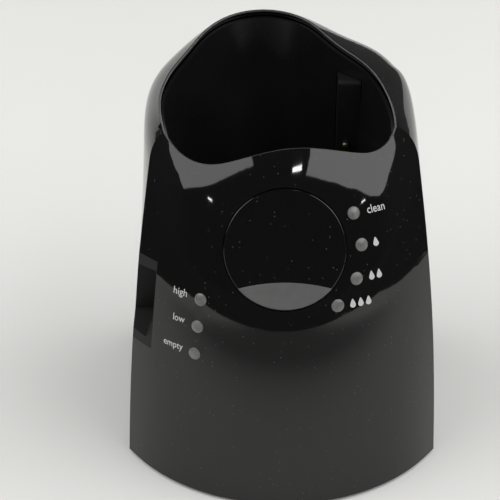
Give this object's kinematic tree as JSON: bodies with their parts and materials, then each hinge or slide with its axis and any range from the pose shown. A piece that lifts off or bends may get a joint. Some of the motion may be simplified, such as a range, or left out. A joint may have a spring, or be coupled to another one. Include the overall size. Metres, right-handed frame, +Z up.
{
  "type": "shaver cleaning and charging station",
  "caption": "Upright black cleaning and charging station for an electric shaver, with an open receptacle, round start button, indicator lights and a pull-out cleaning cartridge.",
  "frame": {"origin": "on the table under the middle of the base", "axes": "+Z up, -Y towards the user (start button side), +X to the user's right"},
  "size_m": [0.1278, 0.1354, 0.165],
  "materials": {
    "gloss_black": "high gloss",
    "satin_black": "satin",
    "dark_liner": "smooth gloss",
    "grey_plastic": "fine matte",
    "white_plastic": "matte",
    "lens_clear": "translucent gloss",
    "cartridge_blue": "satin",
    "cartridge_lid": "satin",
    "filter": "open felt",
    "rubber_black": "matte",
    "silicone": "matte",
    "steel": "drawn",
    "zinc_screw": "plated",
    "contact_gold": "plated",
    "board_green": "solder mask",
    "led_white": "clear",
    "motor_can": "plated"
  },
  "bodies": {
    "base": {"base_tray": "satin_black", "rubber_feet": "rubber_black", "guide_posts": "steel", "lift_springs": "steel"},
    "cartridge": {"cartridge_tub": "cartridge_blue", "cartridge_lid": "cartridge_lid", "cartridge_port": "silicone", "filter_pad": "filter"},
    "housing": {"outer_shell": "gloss_black", "rear_cover": "satin_black", "panel_screws": "zinc_screw", "button_guide": "grey_plastic", "display_board": "board_green", "start_switch": "grey_plastic", "light_guides": "led_white", "level_board": "board_green", "level_leds": "led_white", "cradle": "dark_liner", "contact_block": "dark_liner", "cleaning_bowl": "dark_liner", "drain_nozzle": "silicone", "chassis": "grey_plastic", "chassis_screws": "zinc_screw", "pump_motor": "motor_can", "pump_housing": "white_plastic", "supply_hose": "silicone", "fan_frame": "satin_black", "main_board": "board_green", "power_socket": "satin_black", "socket_pins": "steel", "lens_clean": "lens_clear", "lens_short": "lens_clear", "lens_normal": "lens_clear", "lens_intensive": "lens_clear", "lens_high": "lens_clear", "lens_low": "lens_clear", "lens_empty": "lens_clear"},
    "start_button": {"start_button": "gloss_black"},
    "latch": {"lift_button": "satin_black", "latch_bar": "grey_plastic"},
    "pin_lower": {"contact_pin_lower": "contact_gold"},
    "pin_upper": {"contact_pin_upper": "contact_gold"},
    "impeller": {"pump_impeller": "white_plastic"},
    "fan": {"fan_rotor": "satin_black"}
  },
  "joints": [
    {"name": "cartridge_slide", "type": "slide", "parent": "base", "child": "cartridge", "axis": [0, 1, 0], "range_m": [0, 0.112]},
    {"name": "housing_lift", "type": "slide", "parent": "base", "child": "housing", "axis": [0, 0, 1], "range_m": [0, 0.022], "deforming": ["lift_springs"]},
    {"name": "start_press", "type": "slide", "parent": "housing", "child": "start_button", "axis": [0, 0.9027, -0.4302], "range_m": [0, 0.0012], "stiffness_N_per_m": 700, "springref_m": -0.0015},
    {"name": "lift_press", "type": "slide", "parent": "housing", "child": "latch", "axis": [0, -1, 0], "range_m": [0, 0.003], "stiffness_N_per_m": 500, "springref_m": -0.002},
    {"name": "lower_pin_press", "type": "slide", "parent": "housing", "child": "pin_lower", "axis": [0, 1, 0], "range_m": [0, 0.0015], "stiffness_N_per_m": 300, "springref_m": -0.001},
    {"name": "upper_pin_press", "type": "slide", "parent": "housing", "child": "pin_upper", "axis": [0, 1, 0], "range_m": [0, 0.0015], "stiffness_N_per_m": 300, "springref_m": -0.001},
    {"name": "impeller_spin", "type": "hinge", "parent": "housing", "child": "impeller", "pos_m": [-0.038, -0.0265, 0.06], "axis": [0, 1, 0], "continuous": true},
    {"name": "fan_spin", "type": "hinge", "parent": "housing", "child": "fan", "pos_m": [0, 0.0515, 0.097], "axis": [0, 1, 0], "continuous": true}
  ]
}
